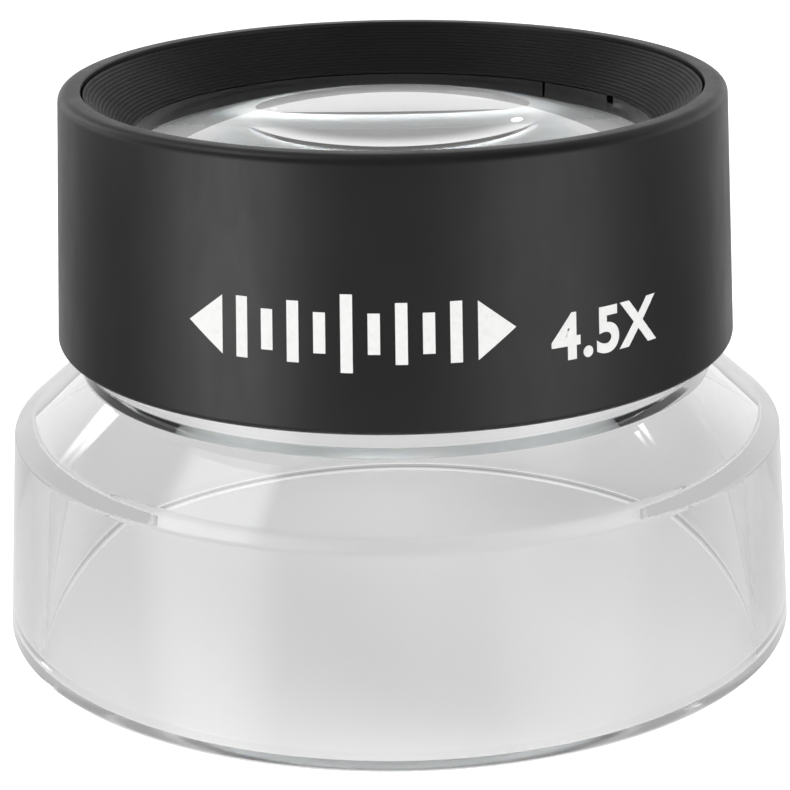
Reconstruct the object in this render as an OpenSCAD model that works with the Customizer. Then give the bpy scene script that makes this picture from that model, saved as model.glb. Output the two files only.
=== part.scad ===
// Stand loupe: a screw-focusing black head on a one-piece clear acrylic base.
// The origin is the centre of the base's resting face, +Z is the optical axis, and the
// head is drawn at its rest focus. Heights of the head are measured down from its rim.

/* [Overall] */
// Height from the resting face to the rim at rest focus
overall_h = 65; // [64.5:0.1:66]
// Free gap between parts that move past each other
play = 0.3; // [0.25:0.01:0.35]

/* [Clear base] */
// Outside diameter at the resting face
base_d = 95.2; // [94:0.2:100]
// Outside diameter at the top of the skirt wall
shoulder_d = 91.6; // [90:0.2:94]
// Height of the corner between the skirt wall and the sloped shoulder
shoulder_h = 24.4; // [23:0.1:25.5]
// Outside diameter of the bare neck under the head
neck_d = 74.7; // [74.4:0.1:74.9]
// Height of the corner between the shoulder and the neck
neck_foot_h = 31.8; // [31.5:0.1:32.1]
// Wall thickness of the skirt at its foot
foot_wall = 4.6; // [4:0.1:5]
// Wall thickness of the skirt just under the shoulder
shoulder_wall = 3.4; // [3:0.1:3.8]
// Wall thickness of the sloped shoulder
slope_wall = 2.3; // [2:0.1:2.6]

/* [Head] */
// Height of the barrel
barrel_h = 29.7; // [29.6:0.1:29.9]
// Outside diameter of the barrel at its lower end, before rounding
barrel_d = 80; // [79:0.1:81]
// Outside diameter of the barrel at the rim
rim_d = 77; // [76.6:0.1:77.6]
// Bore of the barrel at the rim
rim_bore_d = 71.9; // [71.8:0.1:72.2]
// Clear opening of the eye bezel
eye_d = 60.6; // [59.6:0.1:61]
// Number of anti-glare grooves on the bezel's cone
groove_count = 14; // [8:1:18]

/* [Lens] */
// Diameter of the lens
lens_d = 63.5; // [63:0.1:63.8]
// Radius of curvature of the upper lens surface
lens_top_curve = 90; // [80:1:120]
// Radius of curvature of the lower lens surface
lens_low_curve = 57.2; // [56:0.2:70]
// Thickness of the lens at its flange
lens_edge = 2.2; // [2:0.1:2.4]

/* [Focus] */
// How far the head can screw down from rest
focus_down = 2.5; // [2:0.1:2.5]
// How far the head can screw up from rest
focus_up = 3.5; // [2:0.1:3.5]
// Rise of the head in one full turn
thread_lead = 12; // [11:0.5:13]
// Number of thread starts, and of lugs on the barrel
thread_starts = 3; // [2:1:3]

/* [Hidden] */
$fn = 96;
arc_steps = 8;

// Radii of the base and the barrel's lower end
neck_r = neck_d / 2;
thread_r = neck_r - 0.45;
neck_bore_r = neck_r - 3.95;
barrel_r = barrel_d / 2;
rim_r = rim_d / 2;
rim_bore_r = rim_bore_d / 2;
mouth_bore_r = neck_r + play;
thread_bore_r = thread_r + play;
barrel_bottom = overall_h - barrel_h;
barrel_foot_fillet = 0.7;
rim_fillet = 1.2;

// The head's stack, from the rim down
bezel_top = overall_h - 0.5;
cone_bottom = overall_h - 5.2;
bezel_lip_bottom = cone_bottom - 0.3;
ring_top = bezel_lip_bottom - 0.1;
lens_flange_top = overall_h - 7.8;
ring_bottom = lens_flange_top + 0.05;
lens_flange_bottom = lens_flange_top - lens_edge;
gasket_h = 0.5;
seat_z = lens_flange_bottom - gasket_h;
cell_flange_bottom = seat_z - 1.5;
ledge_bottom = cell_flange_bottom - 1;

// The neck's stack, from its end ring down
neck_ring_top = ledge_bottom - focus_down - play;
neck_ring_h = 1;
neck_top = neck_ring_top - neck_ring_h;
rebate_h = 1.6;
rebate_bottom = neck_top - rebate_h;
drag_r = 0.7;
drag_center_r = thread_bore_r - drag_r - 0.05;
rebate_r = drag_center_r - drag_r - 0.05;
neck_step = barrel_bottom + 1;
mouth_top = neck_step + focus_down + 0.5;

// Helical lugs on the barrel, and the grooves that they run in
lug_turn = 30;
lug_h = 1.2;
groove_depth = 1.1;
groove_floor_r = thread_r - groove_depth;
lug_tip_r = groove_floor_r + play;
groove_h = lug_h + 2 * play;
lug_rise = thread_lead * lug_turn / 360;
lug_z = neck_step + 0.9 + groove_h / 2 + lug_rise / 2 + focus_down;
groove_end_turn = 3;
down_turn = 360 * focus_down / thread_lead;
up_turn = 360 * focus_up / thread_lead;

// The travel stop ring, its keys, and the slots that they slide in
key_count = 3;
key_w = 5;
key_reach = 0.7;
slot_floor_r = neck_bore_r + 1;
key_top = neck_top - focus_up - play;
key_bottom = key_top - 2.4;
slot_bottom = key_bottom - focus_down - play;
stop_ring_or = neck_bore_r - play;
stop_ring_w = 1;
stop_ring_bottom = key_top - 2.8;
stop_ring_gap = 2.4;
tube_bore_r = eye_d / 2 + 0.5;
tube_r = stop_ring_or - stop_ring_w - play;
bead_r = tube_r + 0.8;
tube_shoulder_r = tube_r + 1;
bead_h = 0.7;
bead_bottom = stop_ring_bottom - play - bead_h;
tube_bottom = bead_bottom - 2.3;

// Where the retaining ring is split and notched
ring_split_az = 51.3;
ring_split_w = 0.4;
ring_notch_az = 29;
ring_notch_w = 1.4;
ring_notch_h = 0.9;

// Points on an arc about c, from angle a0 to angle a1
function arc(c, r, a0, a1) =
    [for (i = [0 : arc_steps]) let (a = a0 + (a1 - a0) * i / arc_steps)
        [c.x + r * cos(a), c.y + r * sin(a)]];

// Points that round the corner p between the directions to a and b, with radius r
function rounded(a, p, b, r) =
    let (u = (a - p) / norm(a - p),
         v = (b - p) / norm(b - p),
         half = acos(u * v) / 2,
         c = p + (u + v) / norm(u + v) * r / sin(half),
         t0 = p + u * r / tan(half) - c,
         t1 = p + v * r / tan(half) - c,
         a0 = atan2(t0.y, t0.x),
         turn = atan2(t1.y, t1.x) - a0,
         short_turn = turn > 180 ? turn - 360 : turn < -180 ? turn + 360 : turn)
    arc(c, r, a0, a0 + short_turn);

// The point on the line through p along d that is at radius r
function at_radius(p, d, r) = p + d * (r - p.x) / d.x;

// Places a section drawn as (radius, height) all the way round the axis
module lathe() {
    rotate_extrude()
        children();
}

// A flat ring between two heights
module ring(r_in, r_out, z0, z1) {
    lathe()
        translate([r_in, z0])
            square([r_out - r_in, z1 - z0]);
}

// A helical bar: the section's points are (radius, height from the helix)
module helix_bar(section, z_mid, a_mid, a0, a1, step) {
    n = ceil((a1 - a0) / step);
    k = len(section);
    points = [for (i = [0 : n]) let (a = a0 + (a1 - a0) * i / n) for (p = section)
        [p.x * cos(a_mid + a), p.x * sin(a_mid + a), z_mid + p.y + thread_lead * a / 360]];
    sides = [for (i = [0 : n - 1]) for (j = [0 : k - 1]) let (m = (j + 1) % k)
        each [[i * k + j, i * k + m, (i + 1) * k + m], [i * k + j, (i + 1) * k + m, (i + 1) * k + j]]];
    near_cap = [for (j = [1 : k - 2]) [0, j + 1, j]];
    far_cap = [for (j = [1 : k - 2]) [n * k, n * k + j, n * k + j + 1]];
    polyhedron(points = points, faces = concat(sides, near_cap, far_cap));
}

// Slots down the inside of the neck for the stop ring's keys
module key_slots() {
    slot_w = key_w + 2 * play;
    for (i = [0 : key_count - 1])
        rotate(i * 360 / key_count)
            translate([neck_bore_r - 1, -slot_w / 2, slot_bottom])
                cube([slot_floor_r - neck_bore_r + 1, slot_w, neck_top - slot_bottom + 1]);
}

module clear_base() {
    foot = [base_d / 2, 0];
    corner = [shoulder_d / 2, shoulder_h];
    neck_foot = [neck_r, neck_foot_h];
    wall_dir = (corner - foot) / norm(corner - foot);
    slope_dir = (neck_foot - corner) / norm(neck_foot - corner);
    slope_in = corner + slope_wall * [-slope_dir.y, slope_dir.x];
    foot_in = foot - [foot_wall, 0];
    corner_in = at_radius(slope_in, slope_dir, corner.x - shoulder_wall);
    neck_in = at_radius(slope_in, slope_dir, neck_bore_r);
    foot_break = 0.3;
    neck_break = 0.25;
    outline = concat(
        [foot_in, foot - [foot_break, 0], foot + wall_dir * foot_break],
        rounded(foot, corner, neck_foot, 0.9),
        [neck_foot, [neck_r, neck_step - neck_break], [neck_r - neck_break, neck_step],
         [thread_r, neck_step], [thread_r, rebate_bottom], [rebate_r, rebate_bottom],
         [rebate_r, neck_top], [neck_bore_r, neck_top], neck_in],
        rounded(neck_in, corner_in, foot_in, 1.2));
    groove_section = [[groove_floor_r, -0.4 * groove_h], [neck_r + 1, -0.6 * groove_h],
                      [neck_r + 1, 0.6 * groove_h], [groove_floor_r, 0.4 * groove_h]];
    turn_past_lug = lug_turn / 2 + groove_end_turn;
    color([0.88, 0.9, 0.9, 0.45])
        difference() {
            lathe() polygon(outline);
            key_slots();
            for (i = [0 : thread_starts - 1])
                helix_bar(groove_section, lug_z, i * 360 / thread_starts,
                          -down_turn - turn_past_lug, up_turn + turn_past_lug, 6);
        }
}

// Closes the tops of the key slots and keeps the drag ring in its rebate
module neck_ring() {
    color([0.09, 0.09, 0.1])
        ring(neck_bore_r, thread_r, neck_top, neck_ring_top);
}

// Rubber ring that rubs lightly in the barrel's bore, so the focus stays where it is set
module drag_ring() {
    color([0.12, 0.12, 0.12])
        lathe()
            translate([drag_center_r, rebate_bottom + rebate_h / 2])
                circle(r = drag_r, $fn = 48);
}

// Split ring that rides up and down with the head; its keys stop it turning
module travel_stop_ring() {
    color([0.75, 0.74, 0.7])
        difference() {
            union() {
                ring(stop_ring_or - stop_ring_w, stop_ring_or, stop_ring_bottom, key_top);
                for (i = [0 : key_count - 1])
                    rotate(i * 360 / key_count)
                        intersection() {
                            ring(stop_ring_or - stop_ring_w / 2, neck_bore_r + key_reach,
                                 key_bottom, key_top);
                            translate([0, -key_w / 2, key_bottom])
                                cube([neck_r, key_w, key_top - key_bottom]);
                        }
            }
            rotate(180 / key_count)
                translate([0, -stop_ring_gap / 2, stop_ring_bottom - 1])
                    cube([neck_r, stop_ring_gap, key_top - stop_ring_bottom + 2]);
        }
}

module barrel() {
    mouth = [mouth_bore_r, barrel_bottom];
    wall_foot = [barrel_r, barrel_bottom];
    rim = [rim_r, overall_h];
    land_break = 0.15;
    outline = concat(
        [mouth],
        rounded(mouth, wall_foot, rim, barrel_foot_fillet),
        rounded(wall_foot, rim, [rim_bore_r, overall_h], rim_fillet),
        [[rim_bore_r + land_break, overall_h], [rim_bore_r, overall_h - land_break],
         [rim_bore_r, cell_flange_bottom], [thread_r - 2, cell_flange_bottom],
         [thread_r - 2, ledge_bottom], [thread_bore_r, ledge_bottom],
         [thread_bore_r, mouth_top], [mouth_bore_r, mouth_top - (mouth_bore_r - thread_bore_r)]]);
    lug_section = [[lug_tip_r, -0.38 * lug_h], [thread_bore_r + 0.5, -0.55 * lug_h],
                   [thread_bore_r + 0.5, 0.55 * lug_h], [lug_tip_r, 0.38 * lug_h]];
    color([0.1, 0.1, 0.105]) {
        lathe() polygon(outline);
        for (i = [0 : thread_starts - 1])
            helix_bar(lug_section, lug_z, i * 360 / thread_starts, -lug_turn / 2, lug_turn / 2, 5);
    }
}

// Lens seat with a tube below it, on which the stop ring is snapped
module lens_cell() {
    pocket_r = lens_d / 2 + 0.2;
    color([0.82, 0.81, 0.77])
        lathe()
            polygon([
                [tube_bore_r, tube_bottom], [tube_r, tube_bottom], [tube_r, bead_bottom],
                [bead_r, bead_bottom], [bead_r, bead_bottom + bead_h], [tube_r, bead_bottom + bead_h],
                [tube_r, key_top + play], [tube_shoulder_r, key_top + play],
                [tube_shoulder_r, cell_flange_bottom], [rim_bore_r - 0.05, cell_flange_bottom],
                [rim_bore_r - 0.05, lens_flange_top - 0.1], [pocket_r, lens_flange_top - 0.1],
                [pocket_r, seat_z], [tube_bore_r, seat_z]]);
}

module lens_gasket() {
    color([0.8, 0.8, 0.78])
        ring(tube_bore_r, lens_d / 2, seat_z, lens_flange_bottom);
}

// One half of the lens: a spherical cap over the flange, drawn upwards from z = 0
module lens_cap_section(curve) {
    cap_r = eye_d / 2;
    sag = curve - sqrt(curve * curve - cap_r * cap_r);
    intersection() {
        translate([0, sag - curve]) circle(r = curve, $fn = 360);
        square([cap_r, sag + 1]);
    }
}

module lens() {
    color([0.9, 0.93, 0.95, 0.35])
        lathe() {
            translate([0, lens_flange_bottom]) square([lens_d / 2, lens_edge]);
            translate([0, lens_flange_top]) lens_cap_section(lens_top_curve);
            translate([0, lens_flange_bottom]) mirror([0, 1]) lens_cap_section(lens_low_curve);
        }
}

// Split spring ring that holds the lens's flange down
module lens_retaining_ring() {
    color([0.08, 0.08, 0.085])
        difference() {
            ring(eye_d / 2 + 0.05, lens_d / 2 + 0.45, ring_bottom, ring_top);
            rotate(ring_split_az)
                translate([0, -ring_split_w / 2, ring_bottom - 1])
                    cube([rim_r, ring_split_w, ring_top - ring_bottom + 2]);
            rotate(ring_notch_az)
                translate([0, -ring_notch_w / 2, ring_top - ring_notch_h])
                    cube([eye_d / 2 + 0.8, ring_notch_w, ring_notch_h + 1]);
        }
}

module eye_bezel() {
    edge_gap = 0.3;
    cone_out = [rim_bore_r - edge_gap - 0.15, bezel_top];
    cone_in = [eye_d / 2, cone_bottom];
    pitch = (cone_in - cone_out) / groove_count;
    normal = [-pitch.y, pitch.x] / norm(pitch);
    groove_cut = 0.16;
    cone = [for (i = [0 : groove_count - 1]) each
        [cone_out + pitch * i, cone_out + pitch * (i + 0.62) + normal * groove_cut]];
    outline = concat(
        [[rim_bore_r - 0.05, lens_flange_top - 0.05], [rim_bore_r - 0.05, bezel_top - 1.6],
         [rim_bore_r - edge_gap, bezel_top - 1.6], [rim_bore_r - edge_gap, bezel_top]],
        cone,
        [cone_in, [eye_d / 2, bezel_lip_bottom], [eye_d / 2 + 2.1, bezel_lip_bottom],
         [rim_bore_r - 1.5, bezel_lip_bottom + 1.9], [rim_bore_r - 1.5, lens_flange_top - 0.05]]);
    color([0.11, 0.11, 0.115])
        lathe() polygon(outline);
}

clear_base();
neck_ring();
drag_ring();
travel_stop_ring();
barrel();
lens_cell();
lens_gasket();
lens();
lens_retaining_ring();
eye_bezel();
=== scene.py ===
"""A stand loupe: a black screw-focusing head with a wide convex lens, on a flared clear acrylic base."""
import math

import bmesh
import bpy
from mathutils import Matrix, Vector

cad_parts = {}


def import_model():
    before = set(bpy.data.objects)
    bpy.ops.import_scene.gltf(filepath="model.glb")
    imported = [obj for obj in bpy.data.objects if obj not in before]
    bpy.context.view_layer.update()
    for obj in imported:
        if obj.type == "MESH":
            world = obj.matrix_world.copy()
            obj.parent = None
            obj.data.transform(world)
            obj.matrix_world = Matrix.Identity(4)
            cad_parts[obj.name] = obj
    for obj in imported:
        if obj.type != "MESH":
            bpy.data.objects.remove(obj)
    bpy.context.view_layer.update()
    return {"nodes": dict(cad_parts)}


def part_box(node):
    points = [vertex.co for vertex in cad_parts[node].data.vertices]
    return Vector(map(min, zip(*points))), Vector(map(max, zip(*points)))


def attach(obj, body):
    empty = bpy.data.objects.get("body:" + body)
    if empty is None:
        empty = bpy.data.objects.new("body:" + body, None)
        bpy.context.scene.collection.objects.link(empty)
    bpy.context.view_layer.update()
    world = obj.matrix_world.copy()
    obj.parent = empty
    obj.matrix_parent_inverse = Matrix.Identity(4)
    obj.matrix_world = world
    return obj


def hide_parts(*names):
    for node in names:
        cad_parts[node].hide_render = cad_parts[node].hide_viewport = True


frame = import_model()

MM = 0.001
SEGMENTS, FINE_SEGMENTS = 288, 360
SHARP_ANGLE = 32


# ---------------------------------------------------------------- sizes, in mm, from the frame

def heights(node):
    """Lowest and highest z of a CAD node, and its outer radius."""
    low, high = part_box(node)
    return low.z / MM, high.z / MM, max(high.x, high.y, -low.x, -low.y) / MM


_, neck_top, foot_r = heights("clear_base")
barrel_bottom, rim_top, barrel_r = heights("barrel")
lens_bottom, lens_apex, lens_r = heights("lens")
bezel_bottom, bezel_top, bezel_r = heights("eye_bezel")
ring_bottom, ring_top, ring_r = heights("lens_retaining_ring")
cell_bottom, cell_top, cell_r = heights("lens_cell")
gasket_bottom, gasket_top, _ = heights("lens_gasket")
neck_ring_bottom, neck_ring_top, thread_r = heights("neck_ring")
stop_bottom, stop_top, _ = heights("travel_stop_ring")
drag_bottom, drag_top, drag_r = heights("drag_ring")

PLAY = 0.3
NECK_R = thread_r + 0.45
NECK_BORE_R = NECK_R - 3.95
NECK_STEP = barrel_bottom + 1
REBATE_R, REBATE_BOTTOM = drag_r - 1.45, drag_bottom - 0.1
SHOULDER_R, SHOULDER_H = 45.8, 24.4
NECK_FOOT_H = 31.8
FOOT_WALL, SHOULDER_WALL, SLOPE_WALL = 4.6, 3.4, 2.3
FOCUS_DOWN, FOCUS_UP = 2.5, 3.5
THREAD_LEAD, THREAD_STARTS = 12.0, 3
TURN_PER_START = 360 / THREAD_STARTS
LUG_H, LUG_HALF_TURN = 1.2, 15
GROOVE_H, GROOVE_DEPTH, GROOVE_RUN_OUT = LUG_H + 2 * PLAY, 1.1, 18
LUG_Z = NECK_STEP + 0.9 + GROOVE_H / 2 + 0.5 + FOCUS_DOWN
KEY_W, KEY_H, KEYS = 5.0, 2.4, 3
MOUTH_R = barrel_r + 0.05
RIM_R = barrel_r - 1.45
RIM_BORE_R = 35.95
EYE_R = 30.3
TUBE_BORE_R = EYE_R + 0.5
LENS_TOP_CURVE, LENS_LOW_CURVE = 90.0, 57.2
FLANGE_TOP = rim_top - 7.8
FLANGE_BOTTOM = gasket_top
CONE_BOTTOM = rim_top - 5.2
CONE_GROOVES = 14
CELL_FLANGE = gasket_bottom - 1.5
LEDGE = CELL_FLANGE - 1.0
BEAD_H, BEAD_OUT = 0.7, 0.8
RING_SPLIT_AZ, RING_SPLIT_W = 51.3, 0.4
RING_NOTCH_AZ, RING_NOTCH_W, RING_NOTCH_H = 29.0, 1.4, 0.9
DEGREE_ON_BARREL = barrel_r * math.pi / 180
INK_H, INK_SINK = 0.03, 0.01


# ---------------------------------------------------------------- outlines

def v2(x, y):
    return Vector((x, y))


def rounded(points, radii, steps):
    """The closed outline with rounded corners: radii is a number, or {index: radius, "all": the rest}."""
    default = radii.get("all", 0.0) if isinstance(radii, dict) else radii
    out = []
    count = len(points)
    for i, point in enumerate(points):
        p = v2(*point)
        a, b = v2(*points[i - 1]), v2(*points[(i + 1) % count])
        radius = radii.get(i, default) if isinstance(radii, dict) else default
        u, w = (a - p), (b - p)
        lu, lw = u.length, w.length
        u, w = u / lu, w / lw
        half = math.acos(max(-1.0, min(1.0, u.dot(w)))) / 2
        if radius <= 0 or half > math.radians(88):
            out.append(p)
            continue
        cut = min(radius / math.tan(half), 0.48 * lu, 0.48 * lw)
        r = cut * math.tan(half)
        centre = p + (u + w).normalized() * r / math.sin(half)
        t0, t1 = p + u * cut - centre, p + w * cut - centre
        a0, a1 = math.atan2(t0.y, t0.x), math.atan2(t1.y, t1.x)
        turn = (a1 - a0 + math.pi) % (2 * math.pi) - math.pi
        for k in range(steps + 1):
            a2 = a0 + turn * k / steps
            out.append(centre + v2(math.cos(a2), math.sin(a2)) * r)
    return out


def at_radius(p, d, r):
    """The point on the line through p along d that is at radius r."""
    return p + d * (r - p.x) / d.x


def cap(curve, apex, direction, steps=40):
    """Points of a spherical surface from the eye radius in to the axis."""
    centre = apex - direction * curve
    a_max = math.asin(EYE_R / curve)
    angles = [a_max * (1 - k / steps) for k in range(steps + 1)]
    return [v2(curve * math.sin(a), centre + direction * curve * math.cos(a)) for a in angles]


# ---------------------------------------------------------------- meshes

def new_object(name, mesh):
    obj = bpy.data.objects.new(name, mesh)
    bpy.context.scene.collection.objects.link(obj)
    return obj


def smooth(mesh):
    """Smooth shading, with every edge sharper than SHARP_ANGLE left crisp."""
    for polygon in mesh.polygons:
        polygon.use_smooth = True
    mesh.set_sharp_from_angle(angle=math.radians(SHARP_ANGLE))


def cylindrical(r, angle, z):
    """A place in metres from a radius and a height in mm and an angle in radians."""
    return Vector((r * math.cos(angle), r * math.sin(angle), z)) * MM


def lathe(name, outline, segments=SEGMENTS, start=0.0, turn=360.0):
    """A closed outline of (radius, height) in mm, turned about Z. Less than a full turn gets end caps."""
    bm = bmesh.new()
    whole = turn >= 360
    columns = segments if whole else segments + 1
    rings = []
    for i in range(columns):
        a = math.radians(start + turn * i / segments)
        rings.append([bm.verts.new(cylindrical(p.x, a, p.y)) for p in outline])
    count = len(outline)
    for i in range(segments):
        a, b = rings[i], rings[(i + 1) % columns]
        for j in range(count):
            k = (j + 1) % count
            if outline[j].x < 1e-6 and outline[k].x < 1e-6:
                continue
            bm.faces.new((a[j], b[j], b[k], a[k]))
    if not whole:
        bm.faces.new(rings[0])
        bm.faces.new(list(reversed(rings[-1])))
    bmesh.ops.remove_doubles(bm, verts=bm.verts, dist=1e-7)
    bmesh.ops.dissolve_degenerate(bm, edges=bm.edges, dist=1e-7)
    bmesh.ops.recalc_face_normals(bm, faces=bm.faces)
    mesh = bpy.data.meshes.new(name)
    bm.to_mesh(mesh)
    bm.free()
    smooth(mesh)
    return new_object(name, mesh)


def ring_outline(r_in, r_out, z0, z1, soft=0.12):
    return rounded([(r_in, z0), (r_out, z0), (r_out, z1), (r_in, z1)], soft, 4)


def block(bm, low, high, turn):
    """Adds a box between two corners in mm, turned about Z."""
    made = bmesh.ops.create_cube(bm, size=1.0)["verts"]
    size = [h - l for l, h in zip(low, high)]
    middle = [(l + h) / 2 for l, h in zip(low, high)]
    for v in made:
        place = Vector([m + c * s for m, c, s in zip(middle, v.co, size)])
        v.co = Matrix.Rotation(math.radians(turn), 3, "Z") @ place * MM


def helix_bar(bm, section, z_mid, a_mid, a0, a1):
    """Adds a helical bar from angle a0 to a1. Its section is (radius, height above the helix) in mm."""
    n = math.ceil((a1 - a0) / 3)
    rings = []
    for i in range(n + 1):
        a = a0 + (a1 - a0) * i / n
        t = math.radians(a_mid + a)
        rise = z_mid + THREAD_LEAD * a / 360
        rings.append([bm.verts.new(cylindrical(r, t, rise + z)) for r, z in section])
    count = len(section)
    for a, b in zip(rings, rings[1:]):
        for j in range(count):
            k = (j + 1) % count
            bm.faces.new((a[j], a[k], b[k], b[j]))
    bm.faces.new(list(reversed(rings[0])))
    bm.faces.new(rings[-1])


def finish_mesh(bm, name):
    """Turns a bmesh into an object of its own."""
    bmesh.ops.recalc_face_normals(bm, faces=bm.faces)
    mesh = bpy.data.meshes.new(name)
    bm.to_mesh(mesh)
    bm.free()
    return new_object(name, mesh)


def cut(obj, cutter):
    """Takes the cutter's shape out of obj for good."""
    mod = obj.modifiers.new("cut", "BOOLEAN")
    mod.operation = "DIFFERENCE"
    mod.solver = "EXACT"
    mod.object = cutter
    graph = bpy.context.evaluated_depsgraph_get()
    mesh = bpy.data.meshes.new_from_object(obj.evaluated_get(graph))
    obj.modifiers.clear()
    obj.data = mesh
    bpy.data.objects.remove(cutter)
    smooth(obj.data)


# ---------------------------------------------------------------- materials

# Rays that have reflected inside clear plastic more times than this end in a painted glow: an even tinted
# emission that stands in for the light trapped there.
TRAPPED_AFTER, PAINTED_TRAPPED_GLOW = 2.5, 0.57


class Nodes:
    """A short way to write a node tree."""

    def __init__(self, name):
        self.material = bpy.data.materials.new(name)
        self.material.use_nodes = True
        self.tree = self.material.node_tree
        self.tree.nodes.clear()
        self.out = self.tree.nodes.new("ShaderNodeOutputMaterial")
        self.place = self.tree.nodes.new("ShaderNodeTexCoord").outputs["Object"]

    def node(self, kind, inputs=(), **settings):
        made = self.tree.nodes.new(kind)
        for key, value in settings.items():
            setattr(made, key, value)
        for key, value in dict(inputs).items():
            if isinstance(value, bpy.types.NodeSocket):
                self.tree.links.new(value, made.inputs[key])
            else:
                made.inputs[key].default_value = value
        return made

    def noise(self, scale, detail=3.0, rough=0.5, stretch=(1, 1, 1)):
        place = self.node("ShaderNodeMapping", {"Vector": self.place, "Scale": stretch}).outputs[0]
        return self.node("ShaderNodeTexNoise", {"Vector": place, "Scale": scale, "Detail": detail,
                                                "Roughness": rough}).outputs["Fac"]

    def spread(self, value, low, high, from_low=0.3, from_high=0.7):
        return self.node("ShaderNodeMapRange", {"Value": value, "From Min": from_low, "From Max": from_high,
                                                "To Min": low, "To Max": high}).outputs["Result"]

    def ramp(self, value, stops):
        made = self.node("ShaderNodeValToRGB", {"Fac": value})
        elements = made.color_ramp.elements
        while len(elements) < len(stops):
            elements.new(0.5)
        for element, (at, colour) in zip(elements, stops):
            element.position = at
            element.color = (*colour, 1)
        return made.outputs["Color"]

    def bump(self, height, strength, distance):
        inputs = {"Height": height, "Strength": strength, "Distance": distance}
        return self.node("ShaderNodeBump", inputs).outputs["Normal"]

    def principled(self, **sockets):
        """A Principled shader. A socket's name is written with _ for each space."""
        inputs = {name.replace("_", " "): value for name, value in sockets.items()}
        return self.node("ShaderNodeBsdfPrincipled", inputs).outputs[0]

    def surface(self, shader):
        self.tree.links.new(shader, self.out.inputs["Surface"])
        return self.material


def moulded_black(name, dark, light, rough, grain=0.16, depth=0.012, specular=0.5):
    """Black plastic with a fine eroded mould texture, faint flow clouds and paler handling marks."""
    n = Nodes(name)
    clouds = n.noise(55, 4, 0.6)
    speck = n.noise(1 / (grain * MM), 2, 0.6)
    colour = n.ramp(n.spread(clouds, 0, 1), [(0.0, (dark,) * 3), (1.0, (light,) * 3)])
    rub = n.noise(260, 5, 0.7, (1, 1, 0.35))
    roughness = n.node("ShaderNodeMath", {0: n.spread(clouds, rough - 0.03, rough + 0.03),
                                          1: n.spread(rub, -0.03, 0.05)}, operation="ADD").outputs[0]
    normal = n.bump(speck, 0.5, depth * MM)
    return n.surface(n.principled(Base_Color=colour, Roughness=roughness, Normal=normal,
                                  Specular_IOR_Level=specular, IOR=1.5))


def clear_plastic(name, tint, haze, ripple=0.004, worn_foot=0.0):
    """Clear moulded acrylic: polished, with faint ripples and hairline marks, and dulled where it stands.
    Lamps' rays pass straight through, and rays reflected inside it too many times end in a painted glow."""
    n = Nodes(name)
    flow = n.noise(70, 3, 0.5, (1, 1, 0.5))
    hair = n.noise(900, 6, 0.75, (1, 1, 0.12))
    height = n.node("ShaderNodeSeparateXYZ", {0: n.place}).outputs["Z"]
    dull = n.spread(height, worn_foot, 0, 0.03 * MM, 0.2 * MM)
    roughness = n.node("ShaderNodeMath", {0: n.spread(hair, 0, haze, 0.55, 0.8), 1: dull},
                       operation="ADD").outputs[0]
    normal = n.bump(flow, 0.6, ripple * MM)
    tone = n.ramp(n.spread(flow, 0, 1), [(0.0, tint), (1.0, tuple(min(1.0, c + 0.01) for c in tint))])
    glass = n.principled(Base_Color=tone, Roughness=roughness, Normal=normal, IOR=1.49,
                         Transmission_Weight=1.0)
    through = n.node("ShaderNodeBsdfTransparent", {"Color": (*tint, 1)})
    rays = n.node("ShaderNodeLightPath").outputs
    lamp = n.node("ShaderNodeMath", {0: rays["Is Shadow Ray"], 1: rays["Is Diffuse Ray"]},
                  operation="MAXIMUM").outputs[0]
    # Painted glow: past TRAPPED_AFTER inner reflections the plastic emits an even tinted light in place of
    # the trapped light.
    lost = n.node("ShaderNodeMath", {0: rays["Glossy Depth"], 1: TRAPPED_AFTER},
                  operation="GREATER_THAN").outputs[0]
    painted_glow = n.node("ShaderNodeEmission", {"Color": (*tint, 1), "Strength": PAINTED_TRAPPED_GLOW})
    body = n.node("ShaderNodeMixShader", {"Fac": lost, 1: glass, 2: painted_glow.outputs[0]})
    mix = n.node("ShaderNodeMixShader", {"Fac": lamp, 1: body.outputs[0], 2: through.outputs[0]})
    return n.surface(mix.outputs[0])


def rubber(name, dark, light):
    """Soft rubber or silicone, dull and a little dusty."""
    n = Nodes(name)
    dust = n.noise(1800, 4, 0.7)
    colour = n.ramp(n.spread(dust, 0, 1), [(0.0, (dark,) * 3), (1.0, (light,) * 3)])
    return n.surface(n.principled(Base_Color=colour, Roughness=n.spread(dust, 0.6, 0.8),
                                  Normal=n.bump(dust, 0.4, 0.02 * MM)))


def acetal(name):
    """Waxy white acetal with faint flow marks."""
    n = Nodes(name)
    flow = n.noise(140, 4, 0.6)
    colour = n.ramp(n.spread(flow, 0, 1), [(0.0, (0.68, 0.67, 0.655)), (1.0, (0.76, 0.75, 0.735))])
    normal = n.bump(n.noise(3000, 2), 0.3, 0.01 * MM)
    return n.surface(n.principled(Base_Color=colour, Roughness=n.spread(flow, 0.32, 0.42), Normal=normal,
                                  Subsurface_Weight=0.15))


def white_ink(name):
    """Pad-printed ink: nearly even, with pale mottling and the odd thin spot."""
    n = Nodes(name)
    mottle = n.noise(1400, 5, 0.7)
    colour = n.ramp(n.spread(mottle, 0, 1), [(0.0, (0.66, 0.66, 0.65)), (0.25, (0.74, 0.74, 0.73)),
                                             (1.0, (0.78, 0.78, 0.77))])
    return n.surface(n.principled(Base_Color=colour, Roughness=n.spread(mottle, 0.42, 0.55),
                                  Normal=n.bump(mottle, 0.3, 0.006 * MM)))


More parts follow.
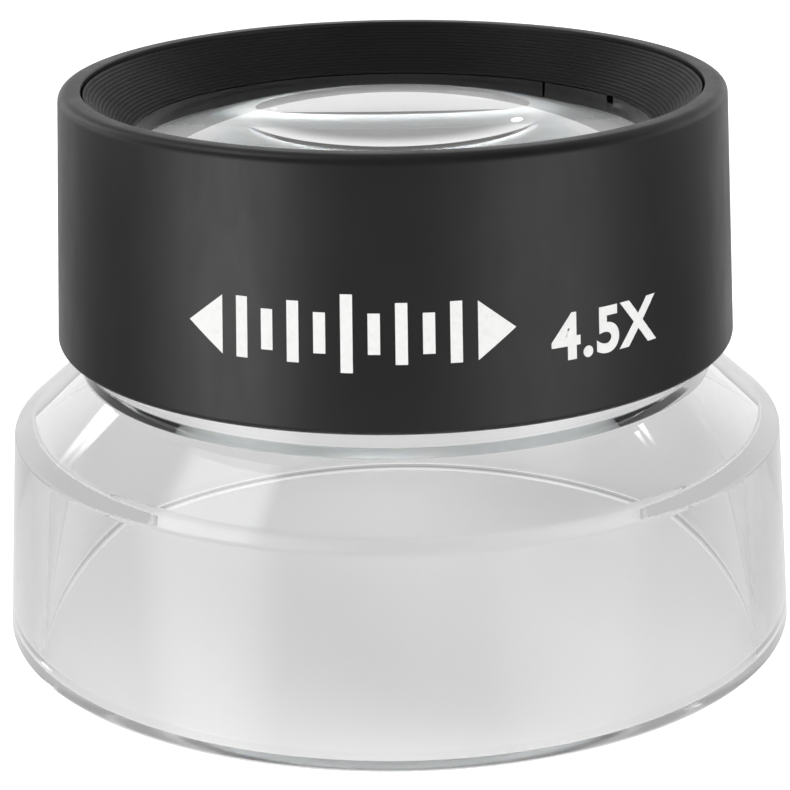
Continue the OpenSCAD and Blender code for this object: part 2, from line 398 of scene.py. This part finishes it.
ACRYLIC = clear_plastic("clear_acrylic", (0.97, 0.971, 0.971), 0.05, worn_foot=0.12)
LENS_ACRYLIC = clear_plastic("lens_acrylic", (0.988, 0.989, 0.989), 0.02, ripple=0.0015)
BLACK = moulded_black("satin_black", 0.006, 0.009, 0.4, specular=0.62)
MATT = moulded_black("matt_black", 0.006, 0.008, 0.46, grain=0.12, specular=0.4)
SMOOTH = moulded_black("smooth_black", 0.006, 0.009, 0.18, depth=0.003)
RUBBER = rubber("black_rubber", 0.012, 0.03)
SILICONE = rubber("natural_silicone", 0.5, 0.6)
ACETAL = acetal("natural_acetal")
INK = white_ink("white_ink")


def dress(obj, material, slot, body, *nodes):
    """Gives a piece its material and its body, and hides the CAD nodes it stands for. The slot argument is
    not used.
    """
    obj.data.materials.clear()
    obj.data.materials.append(material)
    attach(obj, body)
    if nodes:
        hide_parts(*nodes)
    return obj


# ---------------------------------------------------------------- the clear base

def clear_base():
    """Skirt, shoulder and neck in one piece, with the key slots and the thread's grooves cut in the neck."""
    foot, corner, neck_foot = v2(foot_r, 0), v2(SHOULDER_R, SHOULDER_H), v2(NECK_R, NECK_FOOT_H)
    slope_dir = (neck_foot - corner).normalized()
    slope_in = corner + v2(-slope_dir.y, slope_dir.x) * SLOPE_WALL
    corner_in = at_radius(slope_in, slope_dir, SHOULDER_R - SHOULDER_WALL)
    neck_in = at_radius(slope_in, slope_dir, NECK_BORE_R)
    outline = rounded([
        foot - v2(FOOT_WALL, 0), foot, corner, neck_foot, (NECK_R, NECK_STEP),
        (thread_r, NECK_STEP), (thread_r, REBATE_BOTTOM), (REBATE_R, REBATE_BOTTOM),
        (REBATE_R, neck_top), (NECK_BORE_R, neck_top), neck_in, corner_in],
        {"all": 0.12, 1: 0.5, 2: 0.9, 3: 0.25, 4: 0.25, 10: 0.4, 11: 1.2}, 8)
    base = lathe("clear_base_piece", outline, FINE_SEGMENTS)
    bm = bmesh.new()
    slot_half = KEY_W / 2 + PLAY
    slot_bottom = stop_top - KEY_H - FOCUS_DOWN - PLAY
    for i in range(KEYS):
        block(bm, (NECK_BORE_R - 1, -slot_half, slot_bottom), (NECK_BORE_R + 1, slot_half, neck_top + 1),
              i * 360 / KEYS)
    floor_r = thread_r - GROOVE_DEPTH
    section = [(floor_r, -0.4 * GROOVE_H), (NECK_R + 1, -0.6 * GROOVE_H),
               (NECK_R + 1, 0.6 * GROOVE_H), (floor_r, 0.4 * GROOVE_H)]
    per_mm = 360 / THREAD_LEAD
    low_end, high_end = -FOCUS_DOWN * per_mm - GROOVE_RUN_OUT, FOCUS_UP * per_mm + GROOVE_RUN_OUT
    for i in range(THREAD_STARTS):
        helix_bar(bm, section, LUG_Z, i * TURN_PER_START, low_end, high_end)
    cut(base, finish_mesh(bm, "cutter"))
    dress(base, ACRYLIC, "clear_acrylic", "base", "clear_base")


clear_base()
dress(lathe("neck_ring_piece", ring_outline(NECK_BORE_R, thread_r, neck_ring_bottom, neck_ring_top)),
      MATT, "black_plastic", "base", "neck_ring")


def drag_ring():
    r = (drag_top - drag_bottom) / 2
    angles = [i * math.pi / 12 for i in range(24)]
    outline = [v2(drag_r - r + r * math.cos(a), drag_bottom + r + r * math.sin(a)) for a in angles]
    dress(lathe("drag_ring_piece", outline), RUBBER, "black_rubber", "base", "drag_ring")


drag_ring()


# ---------------------------------------------------------------- the head

def wall_radius(z):
    """Radius of the barrel's outer wall at a height in mm."""
    return MOUTH_R + (RIM_R - MOUTH_R) * (z - barrel_bottom) / (rim_top - barrel_bottom)


def barrel():
    """The shell, with a ledge for the cell's flange, and the thread's lugs inside its lower end."""
    neck_clear, thread_clear, ledge_r = NECK_R + PLAY, thread_r + PLAY, thread_r - 2
    outline = rounded([
        (neck_clear, barrel_bottom), (MOUTH_R, barrel_bottom), (RIM_R, rim_top), (RIM_BORE_R, rim_top),
        (RIM_BORE_R, CELL_FLANGE), (ledge_r, CELL_FLANGE), (ledge_r, LEDGE), (thread_clear, LEDGE),
        (thread_clear, NECK_STEP + FOCUS_DOWN + 0.5), (neck_clear, NECK_STEP + FOCUS_DOWN + 0.05)],
        {"all": 0.12, 0: 0.08, 1: 0.7, 2: 1.2, 3: 0.18}, 8)
    dress(lathe("barrel_piece", outline, FINE_SEGMENTS), BLACK, "black_plastic", "head", "barrel")
    bm = bmesh.new()
    tip, root = thread_clear - GROOVE_DEPTH, thread_clear + 0.5
    section = [(tip, -0.38 * LUG_H), (root, -0.55 * LUG_H), (root, 0.55 * LUG_H), (tip, 0.38 * LUG_H)]
    for i in range(THREAD_STARTS):
        helix_bar(bm, section, LUG_Z, i * TURN_PER_START, -LUG_HALF_TURN, LUG_HALF_TURN)
    lugs = finish_mesh(bm, "barrel_lugs")
    smooth(lugs.data)
    dress(lugs, BLACK, "black_plastic", "head")


def eye_bezel():
    """A thin sleeve in the barrel's bore, with a ribbed cone down to the eye opening."""
    edge_r, lip_h, wall = RIM_BORE_R - 0.3, 1.6, 1.5
    out, into = v2(edge_r - 0.15, bezel_top), v2(EYE_R, CONE_BOTTOM)
    pitch = (into - out) / CONE_GROOVES
    normal = v2(-pitch.y, pitch.x).normalized()
    cone = []
    for i in range(CONE_GROOVES):
        cone += [out + pitch * i, out + pitch * (i + 0.2) + normal * 0.02,
                 out + pitch * (i + 0.62) + normal * 0.16, out + pitch * (i + 0.85) + normal * 0.06]
    outside = [v2(bezel_r, bezel_bottom), v2(bezel_r, bezel_top - lip_h), v2(edge_r, bezel_top - lip_h),
               v2(edge_r, bezel_top)]
    under = [into, v2(EYE_R, CONE_BOTTOM - 0.3), v2(EYE_R + 2.1, CONE_BOTTOM - 0.3),
             v2(RIM_BORE_R - wall, CONE_BOTTOM + 1.6), v2(RIM_BORE_R - wall, bezel_bottom)]
    piece = lathe("eye_bezel_piece", outside + cone + under, FINE_SEGMENTS)
    dress(piece, MATT, "matt_black_plastic", "head", "eye_bezel")


def lens():
    top = cap(LENS_TOP_CURVE, lens_apex, 1)
    low = cap(LENS_LOW_CURVE, lens_bottom, -1)
    outline = [v2(lens_r, FLANGE_BOTTOM), v2(lens_r, FLANGE_TOP)] + top + list(reversed(low))
    dress(lathe("lens_piece", outline, 256), LENS_ACRYLIC, "lens_acrylic", "head", "lens")


def lens_cell():
    """The lens's seat, and the tube below it with the bead and the shoulder that hold the stop ring."""
    pocket_r, tube_r = lens_r + 0.2, NECK_BORE_R - 2 * PLAY - 1
    bead_r, bead_top, shoulder = tube_r + BEAD_OUT, stop_bottom - PLAY, stop_top + PLAY
    outline = rounded([
        (TUBE_BORE_R, cell_bottom), (tube_r, cell_bottom), (tube_r, bead_top - BEAD_H),
        (bead_r, bead_top - BEAD_H), (bead_r, bead_top), (tube_r, bead_top), (tube_r, shoulder),
        (tube_r + 1, shoulder), (tube_r + 1, CELL_FLANGE), (cell_r, CELL_FLANGE), (cell_r, cell_top),
        (pocket_r, cell_top), (pocket_r, gasket_bottom), (TUBE_BORE_R, gasket_bottom)], 0.1, 4)
    return dress(lathe("lens_cell_piece", outline), ACETAL, "natural_acetal", "head", "lens_cell")


def lens_retaining_ring():
    """A ring with one narrow split, and a small notch in its inner top edge."""
    split = math.degrees(RING_SPLIT_W / ring_r)
    outline = ring_outline(EYE_R + 0.05, ring_r, ring_bottom, ring_top, 0.1)
    ring = lathe("lens_retaining_ring_piece", outline, SEGMENTS, RING_SPLIT_AZ + split / 2, 360 - split)
    bm = bmesh.new()
    notch_half, notch_bottom = RING_NOTCH_W / 2, ring_top - RING_NOTCH_H
    block(bm, (EYE_R - 1, -notch_half, notch_bottom), (EYE_R + 0.8, notch_half, ring_top + 1), RING_NOTCH_AZ)
    cut(ring, finish_mesh(bm, "cutter"))
    dress(ring, SMOOTH, "black_plastic", "head", "lens_retaining_ring")


barrel()
eye_bezel()
lens()
cell = lens_cell()
lens_retaining_ring()
dress(lathe("lens_gasket_piece", ring_outline(TUBE_BORE_R, lens_r, gasket_bottom, gasket_top, 0.1)),
      SILICONE, "natural_silicone", "head", "lens_gasket")


def travel_stop_ring():
    """The CAD node is shown as it is, in the material of its slot."""
    ring = frame["nodes"]["travel_stop_ring"]
    ring.data.materials.clear()
    ring.data.materials.append(ACETAL)


travel_stop_ring()


# ---------------------------------------------------------------- print on the barrel

def wrap(bm, name):
    """Thickens flat shapes drawn in (arc length, height) mm and lays them round the front of the barrel."""
    for axis, count in ((0, 120), (1, 30)):
        low = min(v.co[axis] for v in bm.verts)
        high = max(v.co[axis] for v in bm.verts)
        for i in range(1, count):
            point = Vector((0, 0, 0))
            point[axis] = low + (high - low) * i / count
            normal = Vector((0, 0, 0))
            normal[axis] = 1
            geometry = list(bm.verts) + list(bm.edges) + list(bm.faces)
            bmesh.ops.bisect_plane(bm, geom=geometry, plane_co=point, plane_no=normal, dist=1e-5)
    top = bmesh.ops.extrude_face_region(bm, geom=list(bm.faces))["geom"]
    for v in top:
        if isinstance(v, bmesh.types.BMVert):
            v.co.z += INK_H
    for v in bm.verts:
        z = v.co.y
        r = wall_radius(z) - INK_SINK + v.co.z
        a = v.co.x / barrel_r
        v.co = Vector((r * math.sin(a), -r * math.cos(a), z)) * MM
    dress(finish_mesh(bm, name), INK, "white_print", "head")


def flat(bm, points):
    """Adds one flat shape, given as (arc length, height) in mm."""
    bm.faces.new([bm.verts.new((x, z, 0)) for x, z in points])


def focus_scale():
    """A generic focus scale: bold ticks between two arrowheads."""
    bm = bmesh.new()
    left, right, mid_z = -33.5 * DEGREE_ON_BARREL, 18.5 * DEGREE_ON_BARREL, 46.4
    ticks, step, half_w = 9, 2.9, 0.65
    middle_tick, long_tick, short_tick = 4.2, 3.3, 2.2
    arrow_l, arrow_half_h = 4.2, 3.2
    for i in range(ticks):
        x = (left + right) / 2 + (i - (ticks - 1) / 2) * step
        h = middle_tick if i == ticks // 2 else long_tick if i % 2 == 0 else short_tick
        flat(bm, [(x - half_w, mid_z - h), (x + half_w, mid_z - h),
                  (x + half_w, mid_z + h), (x - half_w, mid_z + h)])
    for tip, inward in ((left, arrow_l), (right, -arrow_l)):
        flat(bm, [(tip, mid_z), (tip + inward, mid_z - arrow_half_h), (tip + inward, mid_z + arrow_half_h)])
    wrap(bm, "print_focus_scale")


def power_mark():
    """The power of the lens, a plain number as on a dial."""
    azimuth, height = 34.5, 44.2
    curve = bpy.data.curves.new("power", "FONT")
    curve.body = "4.5X"
    curve.size = 6.8
    curve.space_character = 1.08
    curve.align_x = "CENTER"
    curve.align_y = "CENTER"
    curve.offset = 0.22
    text = new_object("power_text", curve)
    graph = bpy.context.evaluated_depsgraph_get()
    mesh = bpy.data.meshes.new_from_object(text.evaluated_get(graph))
    bpy.data.objects.remove(text)
    bm = bmesh.new()
    bm.from_mesh(mesh)
    bmesh.ops.remove_doubles(bm, verts=bm.verts, dist=1e-4)
    for v in bm.verts:
        v.co = Vector((v.co.x + azimuth * DEGREE_ON_BARREL, v.co.y + height, 0))
    wrap(bm, "print_power")


focus_scale()
power_mark()


# ---------------------------------------------------------------- floor, light and camera

FLOOR_LIFT, FLOOR_DROP = 0.66, 0.02
TABLE_FRONT, TABLE_SIDE, TABLE_BACK = 0.36, 0.16, 0.66
# Each glow's azimuth and elevation, the angles where it is full and where it ends, and its strength.
GLOWS = [(-56, -7, 6, 27, 2.2), (50, -7, 6, 31, 1.15), (-93, 58, 9, 14, 2.4),
         (-133, 24.3, 1, 3.6, 12), (115, 38.7, 0.7, 1.7, 16)]
THROUGH_LIGHT = 0.8


def towards(azimuth, elevation):
    """A direction. Azimuth 0 is the camera's side, and it grows towards +X."""
    a, e = math.radians(azimuth), math.radians(elevation)
    return Vector((math.sin(a) * math.cos(e), -math.cos(a) * math.cos(e), math.sin(e)))


def floor():
    """A pale floor, lit a little more where the camera sees it, and see-through from below."""
    bpy.ops.mesh.primitive_plane_add(size=6.0, location=(0, 0, -FLOOR_DROP * MM))
    plane = bpy.context.active_object
    plane.name = "floor"
    n = Nodes("floor")
    fine = n.noise(40, 4)
    colour = n.ramp(fine, [(0.0, (0.86,) * 3), (1.0, (0.88,) * 3)])
    seen = n.node("ShaderNodeLightPath").outputs["Is Camera Ray"]
    lift = n.node("ShaderNodeMath", {0: seen, 1: FLOOR_LIFT}, operation="MULTIPLY").outputs[0]
    pale = n.principled(Base_Color=colour, Roughness=0.9, Specular_IOR_Level=0.1,
                        Emission_Color=(1, 1, 1, 1), Emission_Strength=lift)
    under = n.node("ShaderNodeNewGeometry").outputs["Backfacing"]
    open_below = n.node("ShaderNodeBsdfTransparent")
    mix = n.node("ShaderNodeMixShader", {"Fac": under, 1: pale, 2: open_below.outputs[0]})
    plane.data.materials.append(n.surface(mix.outputs[0]))
    plane.visible_glossy = False


def area_light(name, azimuth, elevation, distance, width, height, power, aim=(0, 0, 0.04)):
    """A softbox, placed by its direction and distance from the point it faces."""
    data = bpy.data.lights.new(name, "AREA")
    data.shape = "RECTANGLE"
    data.size = width
    data.size_y = height
    data.energy = power
    light = bpy.data.objects.new(name, data)
    bpy.context.scene.collection.objects.link(light)
    target = Vector(aim)
    light.location = target + towards(azimuth, elevation) * distance
    light.rotation_euler = (target - light.location).to_track_quat("-Z", "Y").to_euler()
    light.visible_camera = False
    light.visible_glossy = False
    light.visible_transmission = False
    return light


def light_only(light, *pieces):
    """Keeps a lamp to these pieces."""
    lit = bpy.data.collections.new(light.name)
    for piece in pieces:
        lit.objects.link(piece)
    light.light_linking.receiver_collection = lit


def world():
    """A white sweep behind, dim overhead and towards the camera; the camera itself sees plain white."""
    made = bpy.data.worlds.new("studio")
    bpy.context.scene.world = made
    made.use_nodes = True
    tree = made.node_tree
    tree.nodes.clear()

    def node(kind, inputs=(), **settings):
        n = tree.nodes.new(kind)
        for key, value in settings.items():
            setattr(n, key, value)
        for key, value in dict(inputs).items():
            if isinstance(value, bpy.types.NodeSocket):
                tree.links.new(value, n.inputs[key])
            else:
                n.inputs[key].default_value = value
        return n

    def spread(value, from_low, from_high, low, high):
        return node("ShaderNodeMapRange", {"Value": value, "From Min": from_low, "From Max": from_high,
                                           "To Min": low, "To Max": high},
                    interpolation_type="SMOOTHSTEP").outputs[0]

    def math_node(operation, a, b):
        return node("ShaderNodeMath", {0: a, 1: b}, operation=operation).outputs[0]

    def lobe(azimuth, elevation, inner, outer, strength):
        """A soft round glow: full within the inner angle, gone beyond the outer one."""
        centre = towards(azimuth, elevation)
        nearness = node("ShaderNodeVectorMath", {0: place, 1: centre}, operation="DOT_PRODUCT")
        ends, full = math.cos(math.radians(outer)), math.cos(math.radians(inner))
        return spread(nearness.outputs["Value"], ends, full, 0, strength)

    place = node("ShaderNodeTexCoord").outputs["Generated"]
    split = node("ShaderNodeSeparateXYZ", {0: place})
    y, z = split.outputs["Y"], split.outputs["Z"]
    sky = math_node("MULTIPLY", spread(y, -0.2, 0.55, 0.16, 1.0), spread(z, 0.2, 0.5, 1.0, 0.32))
    near_table, far_table = spread(y, -0.5, 0.1, TABLE_FRONT, TABLE_SIDE), spread(y, 0.5, 0.9, 0, TABLE_BACK)
    table = math_node("ADD", near_table, far_table)
    mirrored = node("ShaderNodeMix", {"Factor": spread(z, -0.12, 0.02, 0, 1), 2: table, 3: sky}).outputs[0]
    for glow in GLOWS:
        mirrored = math_node("ADD", mirrored, lobe(*glow))
    rays = node("ShaderNodeLightPath").outputs
    through = math_node("MULTIPLY", rays["Is Transmission Ray"], spread(z, 0.05, 0.4, THROUGH_LIGHT, 0.35))
    level = math_node("MAXIMUM", mirrored, through)
    level = node("ShaderNodeMix", {"Factor": rays["Is Camera Ray"], 2: level, 3: 1.05}).outputs[0]
    shade = node("ShaderNodeBackground", {"Color": (1, 1, 1, 1), "Strength": level})
    tree.links.new(shade.outputs[0], node("ShaderNodeOutputWorld").inputs["Surface"])


def camera():
    """The photograph's viewpoint."""
    data = bpy.data.cameras.new("camera")
    data.lens, data.sensor_width = 114.67, 36
    cam = bpy.data.objects.new("camera", data)
    bpy.context.scene.collection.objects.link(cam)
    pitch, roll = math.radians(18.84), math.radians(-0.81)
    forward = Vector((0, math.cos(pitch), -math.sin(pitch)))
    right = Vector((1, 0, 0))
    up = right.cross(forward)
    cos, sin = math.cos(roll), math.sin(roll)
    right, up = right * cos + up * sin, up * cos - right * sin
    rotation = Matrix((right, up, -forward)).transposed().to_4x4()
    cam.matrix_world = Matrix.Translation((-0.0002, -0.2875, 0.1244)) @ rotation
    bpy.context.scene.camera = cam


floor()
world()
area_light("softbox_left", -62, 12, 0.75, 0.3, 0.6, 3.8)
area_light("softbox_right", 58, 12, 0.75, 0.26, 0.6, 3.6)
area_light("top", 0, 66, 0.9, 0.9, 0.9, 4.8)
light_only(area_light("into_the_tube", 0, 0, 0.45, 0.5, 0.012, 12, aim=(0, 0, 0.007)), cell)
light_only(area_light("onto_the_cell", 0, 0, 0.45, 0.5, 0.012, 11, aim=(0, 0, 0.03)), cell)
camera()
bpy.context.scene.view_settings.view_transform = "Standard"
